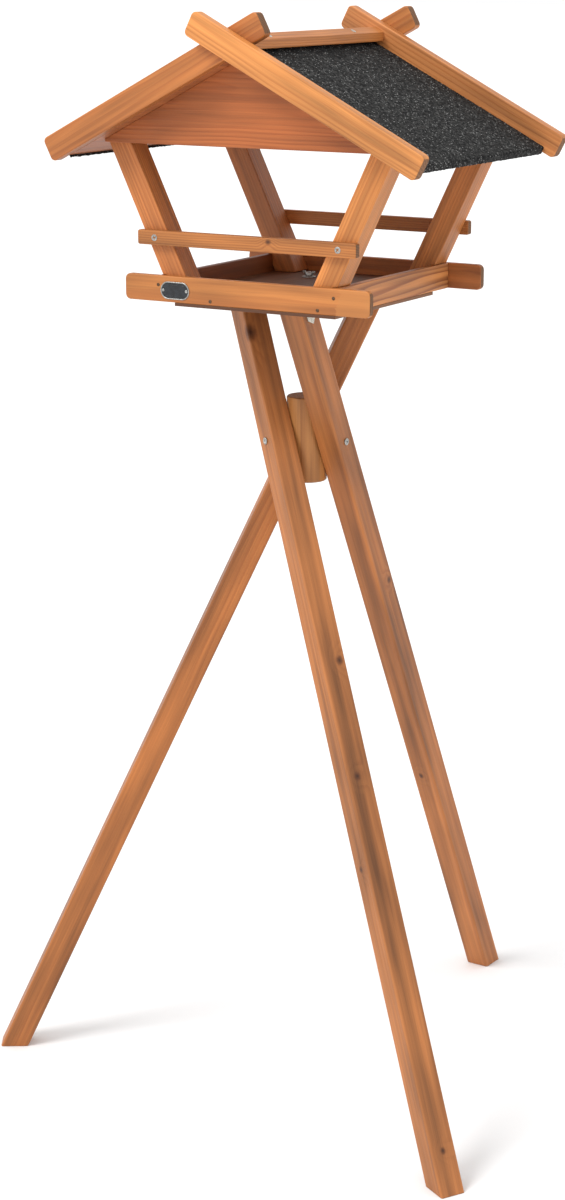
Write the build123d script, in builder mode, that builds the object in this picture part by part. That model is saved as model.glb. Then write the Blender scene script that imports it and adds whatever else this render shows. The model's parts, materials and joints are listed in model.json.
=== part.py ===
from build123d import *
import os
from math import cos, radians, sin, tan

os.makedirs("parts", exist_ok=True)

# A wooden bird feeder: a roofed tray on a three-legged stand. +Z is up, the front faces -Y,
# and the origin is on the ground under the middle of everything that the object covers.

# ---- driving sizes, in millimetres and degrees ----

# stand
hub_diameter = 52.0
hub_above = 54.0             # the hub's reach above and below the leg screws
hub_below = 56.0
hub_chamfer = 1.5
pivot_drop = 180.0           # from the house's base plate down to the screws on which the legs fold
leg_width = 34.0             # square section
leg_edge = 2.0               # planed arris of a leg
leg_headings = (-30.3, 86.4, 211.9)    # which way each leg leans out, seen from above
leg_leans = (26.2, 25.8, 25.0)         # how far each one leans from upright

# tray
plate_underside = 1042.0     # the leg tops carry the house here
plate_thickness = 4.0
plate_left = 101.5           # the plate is not centred: it is flush with the tray's front and right
plate_back = 101.3           # outer faces, and reaches this far from the hub axis on the other sides
board_thickness = 9.5        # tray boards, perch rails and gables
board_height = 32.5
board_corner = 7.0
tray_length = 349.0          # front and back boards
tray_width = 255.2           # over the end boards
tray_depth = 306.0           # over the front and back boards
floor_thickness = 10.0

# posts and perches
post_width = 30.0            # across the lean
post_depth = 33.0
post_lean = 25.8
post_inset = 21.1            # from the end board's inner face to a post's middle, on the floor
perch_length = 310.0
perch_height = 18.2
perch_lift = 78.7            # middle of a rail above the tray's bottom edge
perch_corner = 2.5

# roof
roof_pitch = 27.2
roof_rise = 335.5            # from the tray's bottom edge to where the barge boards' upper edges cross
barge_height = 31.5
barge_thickness = 15.0
barge_overlap = 43.0         # beyond the crossing, up the slope
barge_length = 305.0         # from the crossing down the slope
barge_corner = 5.0
deck_thickness = 5.5
deck_slope_length = 286.0    # from the crossing down the slope
roof_depth = 376.6           # over the inner faces of the outermost barge boards
felt_thickness = 2.0
felt_lip = 3.0               # how far the felt hangs below the deck at the eave
gable_drop = 142.5           # from that crossing down to the gables' bottom edge
gable_half_width = 202.0
batten_width = 26.0
batten_side = 11.5
batten_height = 18.5

# fasteners
hinge_pin_radius = 3.0
hinge_pin_depth = 20.0       # into the hub
hinge_head_radius = 4.6
hinge_head_height = 2.6
head_draft = 20.0            # slope of the sides of round heads
screw_radius = 1.9
screw_head_radius = 4.0
screw_head_angle = 45.0      # half the angle of the countersunk heads
screw_length = 32.0
recess_width = 0.9
recess_length = 4.4
recess_depth = 1.3
nail_radius = 1.1
nail_head_radius = 2.2
nail_head_height = 0.8
nail_length = 30.0
end_nail_inset = 2.6         # from the end board's outer face
end_nail_height = 21.0       # above the tray's bottom edge
floor_nail_left = 49.0       # from the middle
floor_nail_inset = 15.1      # from the right end board's inner face
ridge_nail_spacing = 208.0
ridge_nail_offset = 7.0
ridge_nail_head_radius = 3.4
ridge_nail_length = 22.0
bolt_radius = 3.0
bolt_head_radius = 7.0
bolt_head_height = 3.0
bolt_inset = 27.1            # from the end boards' inner faces to the bolt circle
bolt_start_angle = 118.6
bolt_end = 1.0               # of bolt above its wing nut
washer_radius = 9.0
washer_thickness = 1.5
nut_radius = 5.0
nut_height = 4.4
nut_draft = 6.0
wing_reach = 9.6
wing_height = 6.4
wing_thickness = 2.0
wing_tip = 2.6               # length of a wing's flat top
cleat_width = 18.0
cleat_length = 21.0          # from the leg's top down to the point
cleat_thickness = 1.5

# badge on the front board
badge_length = 42.0
badge_height = 22.0
badge_thickness = 1.2
badge_rim = 1.4
badge_relief = 0.4
badge_lift = 14.9            # its middle above the tray's bottom edge
badge_gap = 1.4              # from the end nail's head
badge_pin_spacing = 33.8
badge_pin_radius = 1.1
badge_pin_head_radius = 1.9
badge_pin_length = 8.0

# clearances
moving_gap = 0.3             # between faces that move past each other
pin_fit = 0.05               # radial, round a pin, screw or nail
bolt_fit = 0.1               # radial, round a bolt
drill_spare = 0.5            # how far a blind hole runs past its pin, screw or nail

# ---- sizes that follow from them ----

pivot_height = plate_underside - pivot_drop
hub_bottom = pivot_height - hub_below
leg_radius = hub_diameter / 2 + moving_gap + leg_width / 2
leg_top = plate_underside - moving_gap
tray_bottom = plate_underside + plate_thickness
tray_top = tray_bottom + board_height
floor_top = tray_bottom + floor_thickness
end_outer = tray_width / 2
end_inner = end_outer - board_thickness
wall_inner = tray_depth / 2 - board_thickness
wall_outer = tray_depth / 2
plate_right = end_outer
plate_front = wall_outer
bolt_circle_radius = end_inner - bolt_inset
slope = tan(radians(roof_pitch))
barge_ridge = tray_bottom + roof_rise
gable_bottom = barge_ridge - gable_drop
underside_ridge = barge_ridge - barge_height / cos(radians(roof_pitch))
deck_level = barge_height - deck_thickness
felt_level = deck_level - felt_thickness
deck_ridge = barge_ridge - deck_level / cos(radians(roof_pitch))
felt_ridge = barge_ridge - felt_level / cos(radians(roof_pitch))
roof_front = roof_depth / 2
roof_back = roof_front - barge_thickness
post_foot = end_inner - post_inset
post_run = tan(radians(post_lean))
post_half = post_width / 2 / cos(radians(post_lean))
perch_middle = tray_bottom + perch_lift
perch_screw_x = post_foot + post_run * (perch_middle - floor_top)
batten_bottom = felt_ridge + pin_fit
end_nail_x = end_outer - end_nail_inset
end_nail_z = tray_bottom + end_nail_height
floor_nail_z = tray_bottom + floor_thickness / 2
floor_nail_places = [(-floor_nail_left, floor_nail_z), (end_inner - floor_nail_inset, floor_nail_z)]
badge_x = -(end_nail_x - nail_head_radius - badge_gap - badge_length / 2)
badge_z = tray_bottom + badge_lift


def foot_corners(heading, lean):
    # a leg's corners where it meets the ground, measured from the hub axis
    turn = radians(heading)
    spread = pivot_height * tan(radians(lean))
    half = leg_width / 2
    flat = half - leg_edge
    section = [(half, flat), (flat, half)]
    corners = []
    for across, along in section:
        for across_sign in (1, -1):
            for along_sign in (1, -1):
                out = leg_radius + across_sign * across
                run = spread + along_sign * along / cos(radians(lean))
                corners.append((sin(turn) * out + cos(turn) * run, -cos(turn) * out + sin(turn) * run))
    return corners


feet = [corner for leg in zip(leg_headings, leg_leans) for corner in foot_corners(*leg)]
hub_x = -(min(x for x, y in feet) + max(x for x, y in feet)) / 2
hub_y = -(min(y for x, y in feet) + max(y for x, y in feet)) / 2


def level(height):
    # a level plane centred on the hub axis
    return Plane(origin=(hub_x, hub_y, height))


def wall(out, side):
    # an upright plane that faces outwards at this distance in front of the hub axis. Its x runs
    # across the object and its y is the height. Side 1 is the front and -1 the same turned half round.
    return Plane(origin=(hub_x, hub_y - side * out, 0), x_dir=(side, 0, 0), z_dir=(0, -side, 0))


def leg_axes(heading, lean):
    # a leg's pivot, its outward direction, the direction up the leg and its other side's normal
    turn = radians(heading)
    tilt = radians(lean)
    outward = Vector(sin(turn), -cos(turn), 0)
    pivot = Vector(hub_x, hub_y, pivot_height) + outward * leg_radius
    up = Vector(-sin(tilt) * cos(turn), -sin(tilt) * sin(turn), cos(tilt))
    side = up.cross(outward)
    return pivot, outward, up, side


def on_slope(along, below):
    # a point of the roof's section, from the barge boards' crossing: down the slope, then square to it
    pitch = radians(roof_pitch)
    return (along * cos(pitch) - below * sin(pitch), barge_ridge - along * sin(pitch) - below * cos(pitch))


def post_corner(side_offset):
    # where a post's side meets the underside of the roof
    x = (post_foot + side_offset + post_run * (underside_ridge - floor_top)) / (1 + post_run * slope)
    return (x, underside_ridge - slope * x)


def save(builder, name):
    builder.part.label = name
    export_step(builder.part, f"parts/{name}.step")


# ---- stand ----

leg_names = ("front_right_leg", "back_leg", "front_left_leg")

with BuildPart() as hub_block:
    with BuildSketch(level(hub_bottom)):
        Circle(hub_diameter / 2)
    extrude(amount=hub_above + hub_below)
    chamfer(edges().filter_by(GeomType.CIRCLE), hub_chamfer)
    for heading, lean in zip(leg_headings, leg_leans):
        pivot, outward, up, side = leg_axes(heading, lean)
        with BuildSketch(Plane(origin=pivot, z_dir=outward)):
            Circle(hinge_pin_radius + pin_fit)
        extrude(amount=-(leg_radius - hub_diameter / 2 + hinge_pin_depth + drill_spare), mode=Mode.SUBTRACT)
save(hub_block, "hub_block")

with BuildPart() as hub_screws:
    for heading, lean in zip(leg_headings, leg_leans):
        pivot, outward, up, side = leg_axes(heading, lean)
        seat = pivot + outward * (leg_width / 2 + moving_gap)
        with BuildSketch(Plane(origin=seat, z_dir=outward)):
            Circle(hinge_pin_radius)
        extrude(amount=-(2 * moving_gap + leg_width + hinge_pin_depth))
        with BuildSketch(Plane(origin=seat, z_dir=outward)):
            Circle(hinge_head_radius)
        extrude(amount=hinge_head_height, taper=head_draft)
        with BuildSketch(Plane(origin=seat + outward * hinge_head_height, x_dir=side, z_dir=outward)):
            Rectangle(recess_length, recess_width)
            Rectangle(recess_width, recess_length)
        extrude(amount=-recess_depth, mode=Mode.SUBTRACT)
save(hub_screws, "hub_screws")

for name, heading, lean in zip(leg_names, leg_headings, leg_leans):
    pivot, outward, up, side = leg_axes(heading, lean)
    reach = pivot_height / cos(radians(lean)) + leg_width

    with BuildPart() as leg:
        with BuildSketch(Plane(origin=pivot, x_dir=outward, z_dir=up)):
            Rectangle(leg_width, leg_width)
            chamfer(vertices(), leg_edge)
        extrude(amount=reach, both=True)
        split(bisect_by=Plane.XY, keep=Keep.TOP)
        split(bisect_by=Plane.XY.offset(leg_top), keep=Keep.BOTTOM)
        with BuildSketch(Plane(origin=pivot, z_dir=outward)):
            Circle(hinge_pin_radius + pin_fit)
        extrude(amount=leg_width, both=True, mode=Mode.SUBTRACT)
    save(leg, name)

    # two pointed steel tabs on the top of the leg, one on its outer face and one on its side
    top_along = (leg_top - pivot_height) / cos(radians(lean))
    tip = top_along - cleat_length
    shoulder = tip + cleat_width / 2
    with BuildPart() as cleat:
        faces = (
            Plane(origin=pivot + outward * (leg_width / 2), x_dir=side, z_dir=outward),
            Plane(origin=pivot + side * (leg_width / 2), x_dir=-outward, z_dir=side),
        )
        for face in faces:
            with BuildSketch(face):
                Polygon(
                    (0, tip),
                    (cleat_width / 2, shoulder),
                    (cleat_width / 2, top_along + leg_width),
                    (-cleat_width / 2, top_along + leg_width),
                    (-cleat_width / 2, shoulder),
                    align=None,
                )
            extrude(amount=cleat_thickness)
        split(bisect_by=Plane.XY.offset(leg_top), keep=Keep.BOTTOM)
    save(cleat, name + "_cleat")

# ---- tray ----

with BuildPart() as base_plate:
    with BuildSketch(level(plate_underside)):
        with Locations(((plate_right - plate_left) / 2, (plate_back - plate_front) / 2)):
            Rectangle(plate_left + plate_right, plate_front + plate_back)
        with PolarLocations(bolt_circle_radius, 3, bolt_start_angle):
            Circle(bolt_radius + bolt_fit, mode=Mode.SUBTRACT)
    extrude(amount=plate_thickness)
save(base_plate, "base_plate")

with BuildPart() as floor_panel:
    with BuildSketch(level(tray_bottom)):
        Rectangle(2 * end_inner, 2 * wall_inner)
        with PolarLocations(bolt_circle_radius, 3, bolt_start_angle):
            Circle(bolt_radius + bolt_fit, mode=Mode.SUBTRACT)
    extrude(amount=floor_thickness)
    for side in (1, -1):
        with BuildSketch(wall(wall_inner, side)):
            with Locations(*floor_nail_places):
                Circle(nail_radius + pin_fit)
        extrude(amount=-(nail_length - board_thickness + drill_spare), mode=Mode.SUBTRACT)
save(floor_panel, "floor_panel")

tray_nail_places = list(floor_nail_places)
tray_nail_places += [(-end_nail_x, end_nail_z), (end_nail_x, end_nail_z)]

for side, name in ((1, "front_tray_board"), (-1, "back_tray_board")):
    with BuildPart() as tray_board:
        with BuildSketch(wall(wall_inner, side)):
            with Locations((0, tray_bottom + board_height / 2)):
                RectangleRounded(tray_length, board_height, board_corner)
            with Locations(*tray_nail_places):
                Circle(nail_radius + pin_fit, mode=Mode.SUBTRACT)
            if side == 1:
                with Locations((badge_x, badge_z)):
                    with GridLocations(badge_pin_spacing, 0, 2, 1):
                        Circle(badge_pin_radius + pin_fit, mode=Mode.SUBTRACT)
        extrude(amount=board_thickness)
    save(tray_board, name)

for hand, name in ((1, "right_tray_end"), (-1, "left_tray_end")):
    with BuildPart() as tray_end:
        with BuildSketch(level(tray_bottom)):
            with Locations((hand * (end_outer - board_thickness / 2), 0)):
                Rectangle(board_thickness, 2 * wall_inner)
        extrude(amount=board_height)
        for side in (1, -1):
            with BuildSketch(wall(wall_inner, side)):
                with Locations((side * hand * end_nail_x, end_nail_z)):
                    Circle(nail_radius + pin_fit)
            extrude(amount=-(nail_length - board_thickness + drill_spare), mode=Mode.SUBTRACT)
    save(tray_end, name)

with BuildPart() as tray_nails:
    for side in (1, -1):
        with BuildSketch(wall(wall_outer, side)):
            with Locations(*tray_nail_places):
                Circle(nail_radius)
        extrude(amount=-nail_length)
        with BuildSketch(wall(wall_outer, side)):
            with Locations(*tray_nail_places):
                Circle(nail_head_radius)
        extrude(amount=nail_head_height, taper=head_draft)
save(tray_nails, "tray_nails")

# ---- badge: a rounded plate with a raised rim, held by two pins ----

with BuildPart() as badge_plate:
    with BuildSketch(wall(wall_outer, 1)):
        with Locations((badge_x, badge_z)):
            SlotOverall(badge_length, badge_height)
            with GridLocations(badge_pin_spacing, 0, 2, 1):
                Circle(badge_pin_radius + pin_fit, mode=Mode.SUBTRACT)
    extrude(amount=badge_thickness)
    with BuildSketch(wall(wall_outer + badge_thickness, 1)):
        with Locations((badge_x, badge_z)):
            SlotOverall(badge_length - 2 * badge_rim, badge_height - 2 * badge_rim)
    extrude(amount=-badge_relief, mode=Mode.SUBTRACT)
save(badge_plate, "badge_plate")

with BuildPart() as badge_pins:
    badge_face = wall_outer + badge_thickness - badge_relief
    with BuildSketch(wall(badge_face, 1)):
        with Locations((badge_x, badge_z)):
            with GridLocations(badge_pin_spacing, 0, 2, 1):
                Circle(badge_pin_radius)
    extrude(amount=-badge_pin_length)
    with BuildSketch(wall(badge_face, 1)):
        with Locations((badge_x, badge_z)):
            with GridLocations(badge_pin_spacing, 0, 2, 1):
                Circle(badge_pin_head_radius)
    extrude(amount=nail_head_height, taper=head_draft)
save(badge_pins, "badge_pins")

# ---- posts, leaning out to the eaves, notched over the tray's end boards ----

post_names = {
    (1, 1): "front_right_post",
    (1, -1): "front_left_post",
    (-1, 1): "back_left_post",
    (-1, -1): "back_right_post",
}

for (side, hand), name in post_names.items():
    outline = [
        (post_foot - post_half, floor_top),
        (post_foot + post_half, floor_top),
        post_corner(post_half),
        post_corner(-post_half),
    ]
    with BuildPart() as post:
        with BuildSketch(wall(wall_inner, side)):
            Polygon(*[(hand * x, z) for x, z in outline], align=None)
            with Locations((hand * (end_inner + board_thickness / 2), tray_bottom + board_height / 2)):
                Rectangle(board_thickness, board_height, mode=Mode.SUBTRACT)
        extrude(amount=-post_depth)
        with BuildSketch(wall(wall_inner, side)):
            with Locations((hand * perch_screw_x, perch_middle)):
                Circle(screw_radius + pin_fit)
        extrude(amount=-(screw_length - board_thickness + drill_spare), mode=Mode.SUBTRACT)
    save(post, name)

# ---- perch rails and their screws ----

perch_places = [(-perch_screw_x, perch_middle), (perch_screw_x, perch_middle)]
head_depth = (screw_head_radius - screw_radius) / tan(radians(screw_head_angle))

for side, name in ((1, "front_perch_rail"), (-1, "back_perch_rail")):
    with BuildPart() as perch_rail:
        with BuildSketch(wall(wall_inner, side)):
            with Locations((0, perch_middle)):
                RectangleRounded(perch_length, perch_height, perch_corner)
            with Locations(*perch_places):
                Circle(screw_radius + pin_fit, mode=Mode.SUBTRACT)
        extrude(amount=board_thickness)
        with BuildSketch(wall(wall_outer, side)):
            with Locations(*perch_places):
                Circle(screw_head_radius + pin_fit)
        extrude(amount=-head_depth, taper=screw_head_angle, mode=Mode.SUBTRACT)
    save(perch_rail, name)

with BuildPart() as perch_screws:
    for side in (1, -1):
        with BuildSketch(wall(wall_outer, side)):
            with Locations(*perch_places):
                Circle(screw_radius)
        extrude(amount=-screw_length)
        with BuildSketch(wall(wall_outer, side)):
            with Locations(*perch_places):
                Circle(screw_head_radius)
        extrude(amount=-head_depth, taper=screw_head_angle)
        with BuildSketch(wall(wall_outer, side)):
            with Locations(*perch_places):
                Rectangle(recess_length, recess_width)
                Rectangle(recess_width, recess_length)
        extrude(amount=-recess_depth, mode=Mode.SUBTRACT)
save(perch_screws, "perch_screws")

# ---- gables ----

gable_shoulder = underside_ridge - slope * gable_half_width

for side, name in ((1, "front_gable"), (-1, "back_gable")):
    with BuildPart() as gable:
        with BuildSketch(wall(wall_inner, side)):
            Polygon(
                (-gable_half_width, gable_bottom),
                (gable_half_width, gable_bottom),
                (gable_half_width, gable_shoulder),
                (0, underside_ridge),
                (-gable_half_width, gable_shoulder),
                align=None,
            )
        extrude(amount=board_thickness)
    save(gable, name)

# ---- roof: two equal halves, one turned half round from the other, so that the barge boards
# pass side by side at the ridge. Each deck and felt is notched for the other half's board. ----

notch_x = (felt_ridge - underside_ridge) / (2 * slope) + moving_gap
ridge_nail_places = [
    (x, y)
    for x in (-ridge_nail_offset, ridge_nail_offset)
    for y in (-ridge_nail_spacing / 2, ridge_nail_spacing / 2)
]

for side, hand, far_end in ((1, "right", "back"), (-1, "left", "front")):
    near_end = "front" if side == 1 else "back"

    with BuildPart() as deck:
        with BuildSketch(wall(-roof_back, side)):
            Polygon(
                (0, underside_ridge),
                on_slope(deck_slope_length, barge_height),
                on_slope(deck_slope_length, deck_level),
                (0, deck_ridge),
                align=None,
            )
        extrude(amount=roof_back + roof_front)
        with BuildSketch(wall(roof_back, side)):
            with Locations((0, deck_ridge)):
                Rectangle(2 * notch_x, 2 * barge_height)
        extrude(amount=barge_thickness, mode=Mode.SUBTRACT)
        with BuildSketch(level(deck_ridge)):
            with Locations(*ridge_nail_places):
                Circle(nail_radius + pin_fit)
        extrude(amount=nail_length, both=True, mode=Mode.SUBTRACT)
    save(deck, hand + "_roof_deck")

    with BuildPart() as felt:
        with BuildSketch(wall(-roof_back, side)):
            Polygon(
                (0, deck_ridge),
                on_slope(deck_slope_length, deck_level),
                on_slope(deck_slope_length, barge_height + felt_lip),
                on_slope(deck_slope_length + felt_thickness, barge_height + felt_lip),
                on_slope(deck_slope_length + felt_thickness, felt_level),
                (0, felt_ridge),
                align=None,
            )
        extrude(amount=roof_back + roof_front)
        with BuildSketch(wall(roof_back, side)):
            with Locations((0, deck_ridge)):
                Rectangle(2 * notch_x, 2 * barge_height)
        extrude(amount=barge_thickness, mode=Mode.SUBTRACT)
        with BuildSketch(level(deck_ridge)):
            with Locations(*ridge_nail_places):
                Circle(nail_radius + pin_fit)
        extrude(amount=nail_length, both=True, mode=Mode.SUBTRACT)
    save(felt, hand + "_roof_felt")

    for out, end in ((roof_front, near_end), (-roof_front, far_end)):
        with BuildPart() as barge_board:
            with BuildSketch(wall(out, side)):
                Polygon(
                    on_slope(-barge_overlap, 0),
                    on_slope(barge_length, 0),
                    on_slope(barge_length, barge_height),
                    on_slope(-barge_overlap, barge_height),
                    align=None,
                )
                fillet(vertices(), barge_corner)
            extrude(amount=barge_thickness)
        save(barge_board, f"{hand}_{end}_barge_board")

# ---- ridge batten and its nails, whose heads sit in spot faces in the sloping top ----

batten_shoulder = batten_bottom + batten_side
batten_top = batten_bottom + batten_height
spot_level = batten_top - (batten_height - batten_side) * (
    (ridge_nail_offset + ridge_nail_head_radius) / (batten_width / 2)
)

with BuildPart() as ridge_batten:
    with BuildSketch(wall(-roof_back, 1)):
        Polygon(
            (-batten_width / 2, batten_bottom),
            (batten_width / 2, batten_bottom),
            (batten_width / 2, batten_shoulder),
            (0, batten_top),
            (-batten_width / 2, batten_shoulder),
            align=None,
        )
    extrude(amount=2 * roof_back)
    with BuildSketch(level(spot_level)):
        with Locations(*ridge_nail_places):
            Circle(ridge_nail_head_radius + pin_fit)
    extrude(amount=batten_height, mode=Mode.SUBTRACT)
    with BuildSketch(level(spot_level)):
        with Locations(*ridge_nail_places):
            Circle(nail_radius + pin_fit)
    extrude(amount=-batten_height, mode=Mode.SUBTRACT)
save(ridge_batten, "ridge_batten")

with BuildPart() as ridge_nails:
    with BuildSketch(level(spot_level)):
        with Locations(*ridge_nail_places):
            Circle(nail_radius)
    extrude(amount=-ridge_nail_length)
    with BuildSketch(level(spot_level)):
        with Locations(*ridge_nail_places):
            Circle(ridge_nail_head_radius)
    extrude(amount=nail_head_height)
save(ridge_nails, "ridge_nails")

# ---- floor bolts with washers and wing nuts ----

washer_top = floor_top + washer_thickness
nut_bottom = washer_top + moving_gap

with BuildPart() as floor_bolts:
    with BuildSketch(level(plate_underside)):
        with PolarLocations(bolt_circle_radius, 3, bolt_start_angle):
            Circle(bolt_radius)
    extrude(amount=nut_bottom + nut_height + bolt_end - plate_underside)
    with BuildSketch(level(plate_underside)):
        with PolarLocations(bolt_circle_radius, 3, bolt_start_angle):
            Circle(bolt_head_radius)
    extrude(amount=-bolt_head_height, taper=head_draft)
save(floor_bolts, "floor_bolts")

with BuildPart() as floor_washers:
    with BuildSketch(level(floor_top)):
        with PolarLocations(bolt_circle_radius, 3, bolt_start_angle):
            Circle(washer_radius)
            Circle(bolt_radius + bolt_fit, mode=Mode.SUBTRACT)
    extrude(amount=washer_thickness)
save(floor_washers, "floor_washers")

for index, name in enumerate(("back_wing_nut", "front_wing_nut", "right_wing_nut")):
    turn = radians(bolt_start_angle + 120 * index)
    nut_x = hub_x + bolt_circle_radius * cos(turn)
    nut_y = hub_y + bolt_circle_radius * sin(turn)
    with BuildPart() as wing_nut:
        with BuildSketch(Plane(origin=(nut_x, nut_y, nut_bottom))):
            Circle(nut_radius)
        extrude(amount=nut_height, taper=nut_draft)
        for hand in (1, -1):
            wing_plane = Plane(origin=(nut_x, nut_y, nut_bottom), x_dir=(hand, 0, 0), z_dir=(0, -hand, 0))
            with BuildSketch(wing_plane):
                Polygon(
                    (nut_radius - wing_thickness, 0),
                    (nut_radius + wing_thickness, wing_thickness),
                    (wing_reach, wing_height - wing_tip),
                    (wing_reach - wing_thickness / 2, wing_height),
                    (wing_reach - wing_thickness / 2 - wing_tip, wing_height),
                    (nut_radius - wing_thickness, nut_height - wing_thickness),
                    align=None,
                )
            extrude(amount=wing_thickness / 2, both=True)
        with BuildSketch(Plane(origin=(nut_x, nut_y, nut_bottom))):
            Circle(bolt_radius + pin_fit)
        extrude(amount=nut_height + wing_height, mode=Mode.SUBTRACT)
    save(wing_nut, name)
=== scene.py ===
import bpy
import json
import numpy as np
from math import cos, pi, radians, sin, tan
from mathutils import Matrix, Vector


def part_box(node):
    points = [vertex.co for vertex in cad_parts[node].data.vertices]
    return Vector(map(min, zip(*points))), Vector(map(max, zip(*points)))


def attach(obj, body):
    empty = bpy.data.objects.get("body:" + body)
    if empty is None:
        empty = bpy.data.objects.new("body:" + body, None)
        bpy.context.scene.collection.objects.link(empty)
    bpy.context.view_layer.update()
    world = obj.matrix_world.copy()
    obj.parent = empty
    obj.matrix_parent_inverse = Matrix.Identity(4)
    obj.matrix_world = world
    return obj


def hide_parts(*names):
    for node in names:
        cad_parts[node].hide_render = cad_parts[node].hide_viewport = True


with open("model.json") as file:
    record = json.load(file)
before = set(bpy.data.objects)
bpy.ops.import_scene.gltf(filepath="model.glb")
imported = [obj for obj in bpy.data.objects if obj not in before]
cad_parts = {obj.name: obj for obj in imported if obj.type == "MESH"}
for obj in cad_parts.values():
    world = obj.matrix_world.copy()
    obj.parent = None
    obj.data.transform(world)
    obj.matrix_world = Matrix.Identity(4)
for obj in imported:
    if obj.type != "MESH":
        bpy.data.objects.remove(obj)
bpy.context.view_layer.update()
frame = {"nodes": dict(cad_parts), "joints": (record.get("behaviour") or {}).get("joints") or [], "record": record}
print("frame loaded:", len(frame["nodes"]), "nodes")

# Lengths are in metres. The hub's axis is the middle of the house, and the front faces -Y.
jointOf = {joint["name"]: joint for joint in frame["joints"]}
hubAxis = np.array(jointOf["house_lift"]["pos_m"])
hubAxis[2] = 0.0
xAxis, yAxis, zAxis = np.eye(3)


def boxOf(node):
    low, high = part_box(node)
    return np.array(low), np.array(high)


def unit(v):
    return v / np.linalg.norm(v, axis=-1, keepdims=True)


# Camera and light.

cameraPlace = {
    "spot": (1.5877, -2.8002, 1.4703),
    "heading": 30.68,       # degrees left of straight back
    "tilt": -14.72,         # degrees below level
    "lens": 74.35,
    "sensor": 36.0,         # along the image's longer side
}
studio = {
    "sky": 1.0,
    "skyTint": (1.0, 1.0, 1.0, 1.0),
    "sunPower": 1.8,
    "sunSize": 24.0,        # degrees across, for soft shadows
    "sunFrom": (-0.45, -0.95, 1.15),
    "floorTint": (0.86, 0.86, 0.86, 1.0),
    "floorHalf": 60.0,
}


def makeCamera(place):
    lensData = bpy.data.cameras.new("camera")
    lensData.lens = place["lens"]
    lensData.sensor_width = place["sensor"]
    lensData.clip_end = 200.0
    camera = bpy.data.objects.new("camera", lensData)
    camera.location = place["spot"]
    camera.rotation_euler = (radians(90 + place["tilt"]), 0, radians(place["heading"]))
    bpy.context.scene.collection.objects.link(camera)
    bpy.context.scene.camera = camera


def makeStudio(values):
    scene = bpy.context.scene
    scene.view_settings.view_transform = "Standard"
    world = bpy.data.worlds.new("studio")
    world.use_nodes = True
    sky = world.node_tree.nodes["Background"]
    sky.inputs["Color"].default_value = values["skyTint"]
    sky.inputs["Strength"].default_value = values["sky"]
    scene.world = world
    sunData = bpy.data.lights.new("sun", "SUN")
    sunData.energy = values["sunPower"]
    sunData.angle = radians(values["sunSize"])
    sun = bpy.data.objects.new("sun", sunData)
    towards = unit(np.array(values["sunFrom"]))
    sun.rotation_euler = (np.arccos(towards[2]), 0, np.arctan2(towards[1], towards[0]) + pi / 2)
    scene.collection.objects.link(sun)
    half = values["floorHalf"]
    mesh = bpy.data.meshes.new("floor")
    corners = [(-half, -half, 0), (half, -half, 0), (half, half, 0), (-half, half, 0)]
    mesh.from_pydata(corners, [], [(0, 1, 2, 3)])
    floor = bpy.data.objects.new("floor", mesh)
    scene.collection.objects.link(floor)
    paper = bpy.data.materials.new("floorPaper")
    paper.use_nodes = True
    shader = paper.node_tree.nodes["Principled BSDF"]
    shader.inputs["Base Color"].default_value = values["floorTint"]
    shader.inputs["Roughness"].default_value = 0.9
    shader.inputs["Specular IOR Level"].default_value = 0.1
    floor.data.materials.append(paper)


makeCamera(cameraPlace)
makeStudio(studio)
print("camera and light made")


# Material nodes.

def paint(red, green, blue):
    # screen colour, 0 to 255, to the linear colour that the shader wants
    c = np.array([red, green, blue]) / 255.0
    linear = np.where(c <= 0.04045, c / 12.92, ((c + 0.055) / 1.055) ** 2.4)
    return (*map(float, linear), 1.0)


class Shade:
    # a short way to add nodes to one material: each call makes a node and links what it is given
    def __init__(self, name):
        self.material = bpy.data.materials.new(name)
        self.material.use_nodes = True
        self.tree = self.material.node_tree
        self.shader = self.tree.nodes["Principled BSDF"]

    def add(self, kind, inputs=(), out=0, **settings):
        node = self.tree.nodes.new(kind)
        for key, value in settings.items():
            setattr(node, key, value)
        for socket, value in dict(inputs).items():
            self.feed(node.inputs[socket], value)
        return node.outputs[out]

    def feed(self, socket, value):
        if isinstance(value, bpy.types.NodeSocket):
            self.tree.links.new(value, socket)
        else:
            socket.default_value = value

    def sum(self, a, b, how="ADD", c=0.0, clamp=False):
        return self.add("ShaderNodeMath", {0: a, 1: b, 2: c}, operation=how, use_clamp=clamp)

    def vector(self, a, b, how="ADD"):
        return self.add("ShaderNodeVectorMath", {0: a, 1: b}, operation=how)

    def join(self, x, y, z):
        return self.add("ShaderNodeCombineXYZ", {0: x, 1: y, 2: z})

    def span(self, value, low, high, toLow=0.0, toHigh=1.0, smooth=True):
        kind = "SMOOTHSTEP" if smooth else "LINEAR"
        inputs = {0: value, 1: low, 2: high, 3: toLow, 4: toHigh}
        return self.add("ShaderNodeMapRange", inputs, interpolation_type=kind)

    def noise(self, place, scale, detail=2.0, rough=0.5):
        inputs = {"Vector": place, "Scale": scale, "Detail": detail, "Roughness": rough}
        return self.add("ShaderNodeTexNoise", inputs)

    def mix(self, amount, a, b, blend="MIX"):
        node = self.tree.nodes.new("ShaderNodeMix")
        node.data_type = "RGBA"
        node.blend_type = blend
        for socket, value in ((0, amount), (6, a), (7, b)):     # the colour pair of the Mix node
            self.feed(node.inputs[socket], value)
        return node.outputs[2]

    def bump(self, height, distance, strength=1.0):
        return self.add("ShaderNodeBump", {"Height": height, "Distance": distance, "Strength": strength})

    def surface(self, **values):
        for key, value in values.items():
            self.feed(self.shader.inputs[key.replace("_", " ")], value)
        return self.material


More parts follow.
